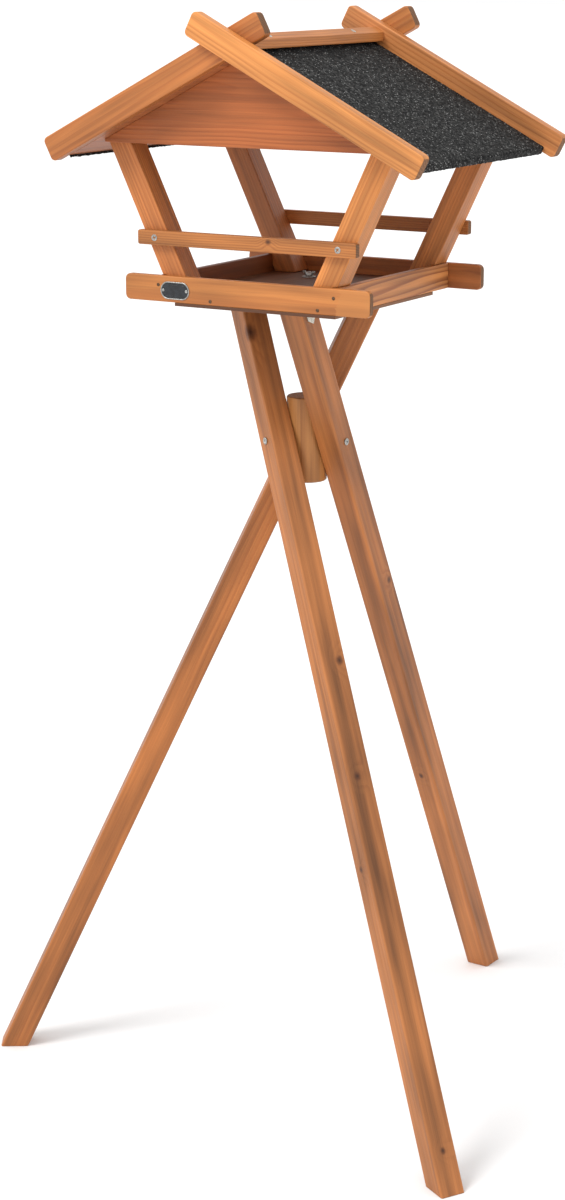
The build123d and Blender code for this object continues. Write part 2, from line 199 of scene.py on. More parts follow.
# Glazed pine. "board" holds the place in the board: along the grain, across it and through it.
# The growth rings are shells round a pith line that wanders, so a board shows long flames on its
# face and arcs on its ends. Their colour climbs slowly to the dark line and drops at once.
pineLook = {
    "light": (214, 142, 88),
    "dark": (176, 98, 52),
    "end": (112, 84, 58),
    "knot": (92, 48, 26),
    "ring": 0.0042,
    "ringShare": 0.55,
    "pith": (0.006, -0.05),
    "wander": 0.020,
    "streak": 0.44,
    "fibre": 0.18,
    # edgeLift lightens the eased edges: partly wear, partly a painted highlight where the arrises catch the light
    "edgeLift": 0.10,
    "tone": (0.70, 0.675, 0.49),
    "paleFrom": None,       # sapwood beyond this place along the board
    "roughness": 0.46,
    "bump": 0.00022,
    "knots": (),
    "shift": 0.0,
}


def glazedPine(name, **changes):
    look = {**pineLook, **changes}
    s = Shade(name)
    board = s.add("ShaderNodeAttribute", attribute_name="board", out="Vector")
    apart = s.tree.nodes.new("ShaderNodeSeparateXYZ")
    s.feed(apart.inputs[0], board)
    along, across, through = apart.outputs
    shifted = s.vector(board, (look["shift"], look["shift"] * 0.37, look["shift"] * 0.71))
    slow = s.vector(shifted, (2.2, 9.0, 9.0), "MULTIPLY")
    wanderA = s.sum(s.sum(s.noise(slow, 1.0), 0.5, "SUBTRACT"), look["wander"], "MULTIPLY")
    aside = s.noise(s.vector(slow, (7.1, 3.3, 1.7)), 1.0)
    wanderB = s.sum(s.sum(aside, 0.5, "SUBTRACT"), look["wander"], "MULTIPLY")
    sideways = s.sum(s.sum(across, look["pith"][0], "SUBTRACT"), wanderA)
    deep = s.sum(s.sum(through, look["pith"][1], "SUBTRACT"), wanderB)
    radius = s.sum(s.sum(s.sum(sideways, 2.0, "POWER"), s.sum(deep, 2.0, "POWER")), 0.5, "POWER")
    knotMask, knotCore = 0.0, 0.0
    for place, size in look["knots"]:
        away = s.vector(s.vector(board, place, "SUBTRACT"), (0.8, 1.0, 1.0), "MULTIPLY")
        length = s.add("ShaderNodeVectorMath", {0: away}, operation="LENGTH", out="Value")
        wobble = s.sum(s.noise(shifted, 260.0), size * 0.5, "MULTIPLY")
        reach = s.sum(length, wobble, "ADD")
        mask = s.span(reach, size * 0.9, size * 1.9, 1.0, 0.0)
        core = s.span(reach, size * 0.3, size * 1.1, 1.0, 0.0)
        bulge = s.span(reach, 0.0, size * 6.0, look["ring"] * 2.2, 0.0)
        radius = s.sum(radius, bulge)
        knotMask = s.sum(knotMask, mask, "MAXIMUM")
        knotCore = s.sum(knotCore, core, "MAXIMUM")
    drift = s.sum(s.noise(s.vector(slow, (0.6, 4.0, 4.0), "MULTIPLY"), 1.0, 3.0), 3.2, "MULTIPLY")
    phase = s.sum(s.sum(radius, 1.0 / look["ring"], "MULTIPLY"), drift)
    saw = s.sum(phase, 1.0, "FRACT")
    late = s.sum(s.span(saw, 0.25, 0.86), s.span(saw, 0.90, 1.0, 1.0, 0.0), "MULTIPLY")
    fine = s.noise(s.vector(shifted, (14.0, 900.0, 900.0), "MULTIPLY"), 1.0, 3.0, 0.6)
    streaks = s.noise(s.vector(shifted, (2.6, 95.0, 95.0), "MULTIPLY"), 1.0, 3.0, 0.55)
    clouds = s.noise(s.vector(shifted, (5.0, 22.0, 22.0), "MULTIPLY"), 1.0, 2.0)
    share = s.span(s.noise(s.vector(shifted, (1.6, 40.0, 40.0), "MULTIPLY"), 1.0), 0.35, 0.65, 0.25, 1.0)
    share = s.sum(s.sum(late, look["ringShare"], "MULTIPLY"), share, "MULTIPLY")
    colour = s.mix(share, paint(*look["light"]), paint(*look["dark"]))
    tone = s.sum(s.span(streaks, 0.3, 0.7, -1.0, 1.0, False), look["streak"] * 0.5, "MULTIPLY")
    tone = s.sum(tone, s.sum(s.span(fine, 0.3, 0.7, -1.0, 1.0, False), look["fibre"] * 0.5, "MULTIPLY"))
    tone = s.sum(tone, s.sum(s.span(clouds, 0.3, 0.7, -1.0, 1.0, False), look["streak"] * 0.50, "MULTIPLY"))
    gain = s.sum(tone, 1.0)
    colour = s.vector(colour, s.join(gain, gain, gain), "MULTIPLY")
    if look["paleFrom"] is not None:
        uneven = s.noise(s.vector(shifted, (9.0, 130.0, 130.0), "MULTIPLY"), 1.0, 3.0)
        border = s.sum(along, s.sum(uneven, 0.03, "MULTIPLY"))
        pale = s.span(border, look["paleFrom"] + 0.014, look["paleFrom"] + 0.016, 0.0, 0.55)
        colour = s.mix(pale, colour, paint(218, 146, 92))
    if look["knots"]:
        colour = s.mix(s.sum(knotMask, 0.72, "MULTIPLY"), colour, paint(*look["knot"]))
        core = tuple(0.45 * v for v in paint(*look["knot"]))
        colour = s.mix(s.sum(knotCore, 0.8, "MULTIPLY"), colour, core)
    colour = s.vector(colour, look["tone"], "MULTIPLY")
    # the eased edges are made lighter: partly wear, partly a painted highlight of the arrises catching the light
    arrisWearAndHighlight = s.add("ShaderNodeAttribute", attribute_name="arris", out="Fac")
    lift = s.sum(s.sum(arrisWearAndHighlight, look["edgeLift"], "MULTIPLY"), 1.0)
    colour = s.vector(colour, s.join(lift, lift, lift), "MULTIPLY")
    grainWay = s.add("ShaderNodeAttribute", attribute_name="grainWay", out="Vector")
    facing = s.add("ShaderNodeTexCoord", out="Normal")
    endOn = s.add("ShaderNodeVectorMath", {0: grainWay, 1: facing}, operation="DOT_PRODUCT", out="Value")
    endOn = s.span(s.sum(endOn, 1.0, "ABSOLUTE"), 0.72, 0.93)
    endTone = s.mix(late, paint(*look["end"]), tuple(0.55 * v for v in paint(*look["end"])))
    endTone = s.mix(s.span(fine, 0.35, 0.7, 0.0, 0.35), endTone, paint(*look["dark"]))
    colour = s.mix(endOn, colour, endTone)
    height = s.sum(s.sum(late, 0.5, "MULTIPLY"), s.sum(fine, 0.8, "MULTIPLY"))
    rough = s.sum(s.sum(fine, 0.22, "MULTIPLY"), look["roughness"] - 0.08)
    rough = s.sum(rough, s.sum(endOn, 0.25, "MULTIPLY"))
    return s.surface(Base_Color=colour, Roughness=rough, Normal=s.bump(height, look["bump"]),
                     Specular_IOR_Level=0.42)


# Surfaces.

def makeMesh(name, points, faces, body, material, grain=None, arris=None, smooth=True):
    # grain is (middle, along, across): the attributes that glazedPine reads come from it
    mesh = bpy.data.meshes.new(name)
    mesh.from_pydata(points.reshape(-1, 3).tolist(), [], faces)
    mesh.validate()
    if grain is not None:
        middle, along, across = (np.asarray(v, float) for v in grain)
        along, across = unit(along), unit(across)
        away = points.reshape(-1, 3) - middle
        board = np.stack([away @ along, away @ across, away @ np.cross(along, across)], 1)
        laid = mesh.attributes.new("board", "FLOAT_VECTOR", "POINT")
        laid.data.foreach_set("vector", board.astype(np.float32).ravel())
        way = mesh.attributes.new("grainWay", "FLOAT_VECTOR", "POINT")
        way.data.foreach_set("vector", np.tile(along, (len(board), 1)).astype(np.float32).ravel())
    if arris is not None:
        arrisWearAndHighlight = mesh.attributes.new("arris", "FLOAT", "POINT")
        arrisWearAndHighlight.data.foreach_set("value", np.asarray(arris, np.float32).ravel())
    smoothFaces = np.full(len(mesh.polygons), smooth)
    if arris is not None:
        corners = np.array([len(p.vertices) for p in mesh.polygons])
        smoothFaces &= corners <= 4
    mesh.polygons.foreach_set("use_smooth", smoothFaces)
    if arris is not None:
        # each face counts by its area, so that the wide ones stay flat up to their rounded edges
        lean = np.zeros((len(mesh.vertices), 3))
        for polygon in mesh.polygons:
            lean[list(polygon.vertices)] += np.array(polygon.normal) * polygon.area
        mesh.normals_split_custom_set_from_vertices(unit(lean + 1e-12).tolist())
    piece = bpy.data.objects.new(name, mesh)
    bpy.context.scene.collection.objects.link(piece)
    mesh.materials.append(material)
    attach(piece, body)
    return piece


def ringFaces(rings, around, capStart=True, capEnd=True):
    # quads between closed rings that lie one after the other, with a face over each end
    r, a = np.meshgrid(np.arange(rings - 1), np.arange(around), indexing="ij")
    b = (a + 1) % around
    quads = np.stack([r * around + a, r * around + b, (r + 1) * around + b, (r + 1) * around + a], -1)
    faces = quads.reshape(-1, 4).tolist()
    if capStart:
        faces.append(list(range(around))[::-1])
    if capEnd:
        faces.append([(rings - 1) * around + i for i in range(around)])
    return faces


def roundCorners(corners, radius, steps=5):
    # each corner of the outline becomes an arc that touches both of its sides. An arc's points are
    # its centre plus the turned radius, and the outward normals come from the same turn.
    p = np.asarray(corners, float)
    r = np.broadcast_to(np.asarray(radius, float), (len(p),))[:, None]
    before, after = unit(np.roll(p, 1, 0) - p), unit(np.roll(p, -1, 0) - p)
    half = np.arccos(np.clip((before * after).sum(1), -1, 1))[:, None] / 2
    centre = p + unit(before + after) * r / np.sin(half)
    start, end = p + before * r / np.tan(half) - centre, p + after * r / np.tan(half) - centre
    turn = pi - 2 * half
    t = np.linspace(0, 1, steps)[None, :, None]
    arms = (np.sin((1 - t) * turn[:, None]) * start[:, None] + np.sin(t * turn[:, None]) * end[:, None])
    arms = arms / np.sin(turn)[:, None]
    hollow = np.sign(before[:, 0] * after[:, 1] - before[:, 1] * after[:, 0])[:, None, None]
    points = (centre[:, None] + arms).reshape(-1, 2)
    normals = (-hollow * arms / r[:, None]).reshape(-1, 2)
    return points, normals


def slab(name, node, corners, origin, right, up, thickness, material, grain, body="house",
         corner=0.002, edge=0.001, edgeSteps=4):
    # A board: its rounded outline is carried through its thickness along the outward normal. Near
    # both faces each ring draws in by the eased edge's quarter circle.
    outline, normals = roundCorners(corners, corner)
    edge = min(edge, 0.8 * corner)
    origin, right, up = (np.asarray(v, float) for v in (origin, right, up))
    out = np.cross(right, up)
    turn = np.linspace(0, pi / 2, edgeSteps)
    inset = edge * (1 - np.sin(turn))
    rise = edge * (1 - np.cos(turn))
    inset = np.concatenate([inset, inset[::-1]])
    rise = np.concatenate([rise, thickness - rise[::-1]])
    flat = outline[None] - normals[None] * inset[:, None, None]
    points = origin + flat[..., :1] * right + flat[..., 1:] * up + rise[:, None, None] * out
    # weight for the lighter eased edges, partly wear and partly painted highlight
    edgeWearAndHighlight = np.sin(np.concatenate([turn, turn[::-1]]) * 2)
    arris = np.repeat(np.clip(edgeWearAndHighlight, 0, 1)[:, None], len(outline), 1)
    faces = ringFaces(len(rise), len(outline))
    piece = makeMesh(name, points, faces, body, material, grain, arris)
    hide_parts(node)
    return piece


def rectangle(width, height):
    x, y = width / 2, height / 2
    return [(-x, -y), (x, -y), (x, y), (-x, y)]


# The stand.

legShape = {
    "arris": 0.0028,        # radius of the planed corners
    "eased": 0.0008,        # at the sawn ends
    "gap": 0.0003,          # between a leg and the hub
    "stations": 48,
    "bow": 0.0005,
}
hubShape = {"chamfer": 0.0015, "around": 72}
legGrain = {"ring": 0.0075, "ringShare": 0.40, "wander": 0.030, "streak": 0.62}
legLooks = {
    "front_right_leg": dict(light=(188, 120, 76), dark=(146, 84, 48), shift=3.1, pith=(0.031, -0.022),
        knots=[((0.14, 0.014, 0.017), 0.0075), ((-0.2965, -0.0082, 0.017), 0.004), ((-0.4442, 0.0033, 0.017), 0.0036), ((-0.5585, 0.017, -0.001), 0.003), ((-0.9136, 0.0005, 0.017), 0.003)]),
    "back_leg": dict(light=(188, 118, 72), dark=(152, 84, 46), shift=5.7, pith=(-0.026, 0.03),
        knots=[((-0.231, 0.017, 0.008), 0.0034), ((-0.568, -0.003, -0.017), 0.0032)]),
    "front_left_leg": dict(light=(190, 118, 70), dark=(150, 82, 44), shift=9.4, pith=(0.02, 0.035)),
}


def legFrame(name):
    fold = jointOf[name + "_fold"]
    follow = next(c for c in frame["record"]["behaviour"]["couplings"] if c["joint"] == fold["name"])
    lean = follow["ratio"] * jointOf["house_lift"]["range_m"][1]
    pivot = np.array(fold["pos_m"])
    outward = -np.array(fold["axis"])
    sideways = np.array([-outward[1], outward[0], 0.0])
    up = cos(lean) * zAxis - sin(lean) * sideways
    return pivot, outward, up, np.cross(up, outward), lean


def makeLeg(name, shape):
    # A square profile carried up the leg. Each of its lines is cut where it meets the level planes
    # of the ground and of the plate, at (height - own height) / cos(lean) along the leg.
    pivot, outward, up, side, lean = legFrame(name)
    hubLow, hubHigh = boxOf("hub_block")
    half = np.linalg.norm((pivot - hubAxis)[:2]) - (hubHigh[0] - hubLow[0]) / 2 - shape["gap"]
    low, high = boxOf(name)
    steps = 5
    outline, normals = roundCorners(rectangle(2 * half, 2 * half), shape["arris"], steps)
    t = np.linspace(0, 1, shape["stations"])
    heights = low[2] + shape["eased"] + (high[2] - low[2] - 2 * shape["eased"]) * t
    heights = np.concatenate([[low[2]], heights, [high[2]]])
    inset = np.zeros(len(heights))
    inset[[0, -1]] = shape["eased"]
    flat = outline[None] - normals[None] * inset[:, None, None]
    start = pivot + flat[..., :1] * outward + flat[..., 1:] * side
    climb = (heights[:, None] - start[..., 2]) / up[2]
    bow = shape["bow"] * np.sin(pi * (heights - low[2]) / (high[2] - low[2]))[:, None, None] * side
    points = start + climb[..., None] * up + bow
    arris = np.tile(np.tile(np.sin(np.linspace(0, pi, steps)), 4), (len(heights), 1))
    finish = glazedPine(name + "Pine", **legGrain, **legLooks[name])
    leg = makeMesh(name.replace("_", "-"), points, ringFaces(len(heights), len(outline)), name + "_body",
                   finish, (pivot, up, outward), arris)
    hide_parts(name)


def makeHub(shape):
    # a circle carried up the axis, drawn in at both ends for the chamfers
    low, high = boxOf("hub_block")
    middle = (low + high) / 2
    radius = (high[0] - low[0]) / 2
    c = shape["chamfer"]
    between = np.linspace(low[2] + 2 * c, high[2] - 2 * c, 12)
    heights = np.array([low[2], low[2] + c, *between, high[2] - c, high[2]])
    radii = np.full(len(heights), radius)
    radii[[0, -1]] -= c
    angle = np.linspace(0, 2 * pi, shape["around"], endpoint=False)
    ring = np.stack([np.cos(angle), np.sin(angle), 0 * angle], 1)
    points = middle * (1, 1, 0) + radii[:, None, None] * ring + heights[:, None, None] * zAxis
    arris = np.zeros(points.shape[:2])
    arris[[0, -1]] = 1.0
    finish = glazedPine("hubPine", light=(206, 142, 92), dark=(160, 98, 56), end=(150, 100, 56), ring=0.0032,
                        pith=(0.004, -0.003), wander=0.006, streak=0.25, shift=12.5)
    hub = makeMesh("hub-block", points, ringFaces(len(heights), shape["around"]), "hub", finish,
                   (middle, zAxis, xAxis), arris)
    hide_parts("hub_block")


legNames = ("front_right_leg", "back_leg", "front_left_leg")
for legName in legNames:
    makeLeg(legName, legShape)
makeHub(hubShape)
print("stand made")


# Boards of the house.

roofShape = {
    "pitch": 27.2,
    "bargeCorner": 0.0060,
    "bargeEdge": 0.0016,
    "cadCorner": 0.0050,    # the barge boards' corners in the fixed model
    "feltThick": 0.0020,
    "feltLip": 0.0030,      # below the deck at the eave
}
boardLooks = {
    "front_tray_board": dict(light=(208, 134, 80), dark=(160, 88, 46), shift=1.3, pith=(-0.012, -0.05),
        ring=0.0052, paleFrom=0.132),
    # painted shade: the back board's colours are darker to stand in for the shade on its inner face inside the
    # tray
    "back_tray_board": dict(light=(186, 112, 66), dark=(140, 76, 40), shift=2.9),
    # painted shade: the left end board's colours are darkened to stand in for the shade on its inner face inside
    # the tray
    "left_tray_end": dict(light=(140, 78, 44), dark=(92, 46, 24), shift=4.2, ring=0.0038),
    "right_tray_end": dict(light=(222, 148, 98), dark=(146, 80, 48), shift=5.5, ring=0.0046,
        ringShare=0.8, pith=(0.03, -0.03)),
    "front_perch_rail": dict(light=(208, 134, 80), dark=(164, 92, 48), shift=6.1, ring=0.003,
        pith=(0.05, -0.01), knots=[((0.034, 0.004, 0.0048), 0.0026)]),
    "back_perch_rail": dict(light=(200, 128, 76), dark=(166, 92, 50), shift=7.7, ring=0.003,
        pith=(0.05, -0.01)),
    "front_gable": dict(light=(196, 112, 66), dark=(160, 82, 44), shift=8.4, ring=0.0044, wander=0.03,
        pith=(0.004, -0.035)),
    "back_gable": dict(light=(190, 110, 66), dark=(156, 82, 44), shift=9.9, ring=0.0044, wander=0.03,
        pith=(0.004, -0.035)),
    "right_front_barge_board": dict(light=(248, 166, 104), dark=(206, 124, 70), shift=10.6, ring=0.0042,
        pith=(0.03, -0.02)),
    "right_back_barge_board": dict(light=(224, 148, 98), dark=(182, 104, 60), shift=11.2, ring=0.0042,
        pith=(0.03, -0.02)),
    "left_front_barge_board": dict(light=(208, 130, 78), dark=(164, 90, 48), shift=12.8, ring=0.0046,
        pith=(-0.02, -0.04)),
    "left_back_barge_board": dict(light=(206, 132, 80), dark=(170, 94, 50), shift=13.3, ring=0.0046,
        pith=(-0.02, -0.04)),
    "front_right_post": dict(light=(226, 148, 90), dark=(184, 106, 58), shift=14.9, ring=0.0038,
        pith=(0.028, -0.03)),
    "front_left_post": dict(light=(206, 128, 78), dark=(166, 90, 48), shift=15.4, ring=0.0038,
        pith=(0.028, -0.03)),
    "back_left_post": dict(light=(190, 116, 70), dark=(150, 82, 44), shift=16.6, ring=0.0038,
        pith=(-0.028, -0.03)),
    # painted light: this post's colours are lighter to make up for the shade on its side away from the sun
    "back_right_post": dict(light=(218, 138, 84), dark=(166, 94, 52), shift=17.1, ring=0.0038,
        pith=(-0.028, -0.03)),
    "right_roof_deck": dict(light=(190, 116, 80), dark=(150, 84, 56), shift=18.2, ring=0.005,
        end=(170, 104, 70)),
    "left_roof_deck": dict(light=(190, 116, 80), dark=(150, 84, 56), shift=19.5, ring=0.005,
        end=(170, 104, 70)),
    "ridge_batten": dict(light=(236, 152, 92), dark=(190, 108, 58), shift=20.3, ring=0.003),
    "floor_panel": dict(light=(122, 78, 52), dark=(84, 50, 32), shift=21.8, end=(60, 42, 32),
        roughness=0.6),
    "base_plate": dict(light=(150, 98, 64), dark=(104, 62, 40), shift=22.2, ring=0.0011, pith=(0.0, 0.6),
        wander=0.001, end=(96, 62, 42)),
}


def facing(side):
    # the axes of a board that faces outwards: front for side 1, back for side -1
    return side * xAxis, zAxis


def wallBoard(node, side, corner, edge):
    low, high = boxOf(node)
    middle = (low + high) / 2
    right, up = facing(side)
    size = high - low
    origin = middle + side * yAxis * size[1] / 2
    name = node.replace("_", "-")
    finish = glazedPine(name, **boardLooks[node])
    slab(name, node, rectangle(size[0], size[2]), origin, right, up, size[1], finish,
         (middle, xAxis, zAxis), corner=corner, edge=edge)


wallBoards = {
    "front_tray_board": (1, 0.0068, 0.0016),
    "back_tray_board": (-1, 0.0068, 0.0016),
    "front_perch_rail": (1, 0.0028, 0.0013),
    "back_perch_rail": (-1, 0.0028, 0.0013),
}
for node, (side, corner, edge) in wallBoards.items():
    wallBoard(node, side, corner, edge)


def flatBoard(node, along, across, corner, edge):
    # a board whose outline is seen from above
    low, high = boxOf(node)
    middle = (low + high) / 2
    size = high - low
    name = node.replace("_", "-")
    origin = middle * (1, 1, 0) + low * (0, 0, 1)
    finish = glazedPine(name, **boardLooks[node])
    slab(name, node, rectangle(size[0], size[1]), origin, xAxis, yAxis, size[2], finish,
         (middle, along, across), corner=corner, edge=edge)


flatBoard("left_tray_end", yAxis, zAxis, 0.0016, 0.0012)
flatBoard("right_tray_end", yAxis, zAxis, 0.0016, 0.0012)
flatBoard("floor_panel", yAxis, xAxis, 0.0006, 0.0005)
flatBoard("base_plate", yAxis, xAxis, 0.0010, 0.0004)


# The roof's lines, from the boxes of the deck and the gable: one unit step down the slope, and one
# square to it, inwards.
pitch = radians(roofShape["pitch"])
down = np.array([cos(pitch), -sin(pitch)])
inward = np.array([-sin(pitch), -cos(pitch)])
deckLow, deckHigh = boxOf("right_roof_deck")
gableLow, gableHigh = boxOf("front_gable")
gableThick = gableHigh[1] - gableLow[1]
undersideRidge = gableHigh[2]


def onUnderside(x):
    return undersideRidge - tan(pitch) * abs(x)


def makeGable(node, side):
    low, high = boxOf(node)
    middle = (low + high) / 2
    half = (high[0] - low[0]) / 2
    right, up = facing(side)
    shoulder = onUnderside(half)
    corners = [(-half, low[2]), (half, low[2]), (half, shoulder), (0, high[2]), (-half, shoulder)]
    origin = np.array([middle[0], middle[1] + side * gableThick / 2, 0.0])
    name = node.replace("_", "-")
    finish = glazedPine(name, **boardLooks[node])
    slab(name, node, corners, origin, right, up, gableThick, finish,
         (middle, xAxis, zAxis), corner=0.0010, edge=0.0008)


makeGable("front_gable", 1)
makeGable("back_gable", -1)


def makePost(node, side, hand):
    # a leaning board between the floor and the roof's underside, stepped over the tray's end board
    low, high = boxOf(node)
    endLow, endHigh = boxOf("right_tray_end")
    step = endLow[0] - hubAxis[0]
    tip = high[0] - hubAxis[0] if hand * side > 0 else hubAxis[0] - low[0]
    angle = radians(postShape["lean"])
    slope = tan(angle)
    footOut = postFoot + postShape["width"] / 2 / cos(angle)
    footIn = postFoot - postShape["width"] / 2 / cos(angle)
    topIn = (footIn + slope * (undersideRidge - low[2])) / (1 + slope * tan(pitch))
    sill = endHigh[2]
    outAt = footOut + slope * (sill - low[2])
    corners = [(footIn, low[2]), (footOut, low[2]), (step, low[2] + (step - footOut) / slope), (step, sill),
               (outAt, sill), (tip, onUnderside(tip)), (topIn, onUnderside(topIn))]
    corners = [(hand * x, z) for x, z in corners][::hand]
    right, up = facing(side)
    climb = postShape["grainHeight"]
    middle = np.array([hubAxis[0] + side * hand * (postFoot + slope * climb), (low[1] + high[1]) / 2,
                       low[2] + climb])
    origin = np.array([hubAxis[0], low[1] if side < 0 else high[1], 0.0])
    along = np.array([side * hand * sin(angle), 0, cos(angle)])
    across = np.array([cos(angle), 0, -side * hand * sin(angle)])
    name = node.replace("_", "-")
    finish = glazedPine(name, **boardLooks[node])
    slab(name, node, corners, origin, right, up, high[1] - low[1], finish,
         (middle, along, across), corner=0.0018, edge=0.0014)


# a post's foot is its box's inner lower corner, and its outer upper corner lies on the underside
postShape = {
    "lean": 25.8,           # degrees
    "width": 0.030,
    "grainHeight": 0.08,    # of the grain's middle above the floor
}
postLow = boxOf("front_right_post")[0]
postFoot = postLow[0] - hubAxis[0] + postShape["width"] / 2 / cos(radians(postShape["lean"]))
for node, side, hand in (("front_right_post", 1, 1), ("front_left_post", 1, -1),
                         ("back_left_post", -1, 1), ("back_right_post", -1, -1)):
    makePost(node, side, hand)


def makeBarge(node, side):
    # a straight board along the slope. Its ends are rounded more than its long edges.
    low, high = boxOf(node)
    middle = (low + high) / 2
    right, up = facing(side)
    way = down[0] * right + down[1] * up
    rise = -inward[0] * right - inward[1] * up
    span = np.array([(high[0] - low[0]), (high[2] - low[2])])
    length = (span[0] * cos(pitch) - span[1] * sin(pitch)) / (cos(pitch) ** 2 - sin(pitch) ** 2)
    height = (span[1] * cos(pitch) - span[0] * sin(pitch)) / (cos(pitch) ** 2 - sin(pitch) ** 2)
    extra = roofShape["cadCorner"] * 2 * (cos(pitch) + sin(pitch) - 1) / (cos(pitch) + sin(pitch))
    length, height = length + extra, height + extra
    thick = high[1] - low[1]
    name = node.replace("_", "-")
    slab(name, node, rectangle(length, height), middle + side * yAxis * thick / 2, way, rise, thick,
         glazedPine(name, **boardLooks[node]), (middle, way, rise),
         corner=roofShape["bargeCorner"], edge=roofShape["bargeEdge"])


for node, side in (("right_front_barge_board", 1), ("right_back_barge_board", 1),
                   ("left_back_barge_board", -1), ("left_front_barge_board", -1)):
    makeBarge(node, side)
print("boards made")


# Roof decks, felt and ridge batten.

deckEave = deckHigh[0] - hubAxis[0]     # the deck's top corner at the eave
roofBack = deckHigh[1] - hubAxis[1]
roofFront = hubAxis[1] - deckLow[1]
battenLow, battenHigh = boxOf("ridge_batten")
battenSide = 0.0115                     # height of the batten's upright sides
feltRidge = battenLow[2] - 0.00005
deckTopRidge = feltRidge - roofShape["feltThick"] / cos(pitch)
notch = (feltRidge - undersideRidge) / (2 * tan(pitch)) + 0.0003
notchStep = 0.0001                      # the notch opens between two stations this far either side


def makeDeck(node, side):
    # The roof's section carried along the ridge, from the barge board behind to the one in front.
    # Where the other half's barge board passes it starts further down the slope.
    right, up = facing(side)
    lower = (undersideRidge - deckLow[2]) / tan(pitch)
    ease = 0.0004
    stations = np.array([-roofBack, ease - roofBack, roofBack - notchStep, roofBack + notchStep,
                         roofFront - ease, roofFront])
    rings = []
    for station, inset in zip(stations, (ease, 0, 0, 0, 0, ease)):
        start = notch if station > roofBack else 0.00015
        eaveTop = (deckEave, deckTopRidge - tan(pitch) * deckEave)
        corners = [(start, onUnderside(start)), (lower, deckLow[2]), eaveTop,
                   (start, deckTopRidge - tan(pitch) * start)]
        outline, normals = roundCorners(corners, 0.0006)
        rings.append(outline - normals * inset)
    flat = np.array(rings)
    out = np.cross(right, up)
    points = hubAxis + flat[..., :1] * right + flat[..., 1:] * up + stations[:, None, None] * out
    name = node.replace("_", "-")
    finish = glazedPine(name, **boardLooks[node])
    grain = (hubAxis + zAxis * undersideRidge, yAxis, down[0] * right + down[1] * up)
    deck = makeMesh(name, points, ringFaces(len(stations), flat.shape[1]), "house", finish,
                    grain, np.zeros(flat.shape[:2]))
    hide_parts(node)


makeDeck("right_roof_deck", 1)
makeDeck("left_roof_deck", -1)


def makeBatten():
    # a five-sided strip along the ridge
    low, high = battenLow, battenHigh
    half = (high[0] - low[0]) / 2
    shoulder = low[2] + battenSide
    corners = [(-half, low[2]), (half, low[2]), (half, shoulder), (0, high[2]), (-half, shoulder)]
    middle = (low + high) / 2
    origin = np.array([middle[0], high[1], 0.0])
    slab("ridge-batten", "ridge_batten", corners, origin, xAxis, zAxis, high[1] - low[1],
         glazedPine("ridge-batten", **boardLooks["ridge_batten"]), (middle, yAxis, xAxis),
         corner=0.0014, edge=0.0010)


makeBatten()

feltShape = {
    "grit": 0.00045,        # how far the mineral grains stand out
    "swell": 0.0006,        # slow waves of the sheet
    "ragged": 0.0012,       # unevenness of the cut edge at the eave
    "pace": 0.0016,         # between the points of the sheet
    "bend": 0.0023,         # outer radius over the eave
    "everyInner": 12,       # the hidden inner line keeps one point in so many
    "seed": 11,
}


def mineralFelt(name):
    # dark bitumen with mineral grains: each grain is one cell with its own tone
    s = Shade(name)
    place = s.add("ShaderNodeTexCoord", out="Object")
    cells = s.tree.nodes.new("ShaderNodeTexVoronoi")
    s.feed(cells.inputs["Vector"], place)
    s.feed(cells.inputs["Scale"], 430.0)
    grain = s.add("ShaderNodeSeparateColor", {0: cells.outputs["Color"]})
    small = s.tree.nodes.new("ShaderNodeTexVoronoi")
    s.feed(small.inputs["Vector"], place)
    s.feed(small.inputs["Scale"], 520.0)
    speck = s.add("ShaderNodeSeparateColor", {0: small.outputs["Color"]})
    base = s.mix(s.sum(grain, 2.0, "POWER"), paint(2, 2, 3), paint(66, 66, 65))
    middle = s.span(small.outputs["Distance"], 0.25, 0.60, 1.0, 0.0)
    bright = s.sum(s.span(speck, 0.88, 0.94), middle, "MULTIPLY")
    colour = s.mix(s.sum(bright, 0.85, "MULTIPLY"), base, paint(158, 158, 156))
    patch = s.span(s.noise(place, 18.0, 3.0), 0.3, 0.7, 0.86, 1.12, False)
    colour = s.vector(colour, s.join(patch, patch, patch), "MULTIPLY")
    height = s.sum(s.span(cells.outputs["Distance"], 0.0, 0.6, 1.0, 0.0), grain, "MULTIPLY")
    return s.surface(Base_Color=colour, Roughness=0.85, Normal=s.bump(height, 0.0009),
                     Specular_IOR_Level=0.18)


